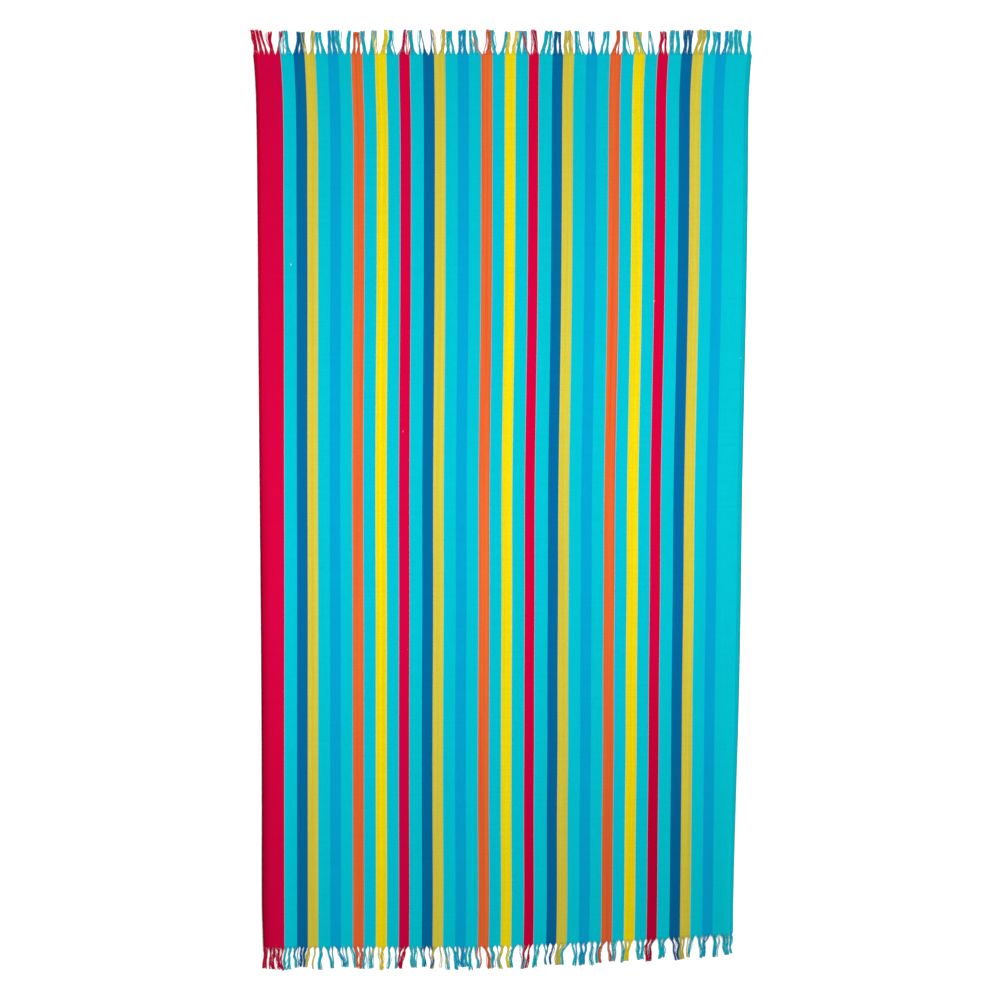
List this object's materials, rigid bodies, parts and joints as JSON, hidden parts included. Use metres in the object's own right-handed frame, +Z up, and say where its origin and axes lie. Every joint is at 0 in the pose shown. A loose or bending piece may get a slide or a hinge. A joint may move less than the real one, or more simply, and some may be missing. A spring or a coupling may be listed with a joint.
{
  "type": "beach towel",
  "caption": "Flat-woven cotton beach towel with lengthwise stripes, hemmed long sides and a yarn fringe at both ends, laid out flat.",
  "frame": {"origin": "on the surface that the towel lies on, under the middle of the whole towel with its fringes", "axes": "+X across the towel, away from the wide crimson band; +Y along the towel, towards the straighter fringe; +Z up, out of the face that shows"},
  "size_m": [0.9188, 1.756, 0.0088],
  "materials": {
    "striped_cotton": "matte flat weave with lengthwise stripes of turquoise, dark blue, olive, mid blue, orange, yellow and crimson",
    "fringe_cotton": "matte loose cotton yarn, in the colours of the stripes that it leaves"
  },
  "bodies": {
    "root": {"cloth": "striped_cotton", "fringe_top": "fringe_cotton", "fringe_bottom": "fringe_cotton"}
  },
  "joints": []
}
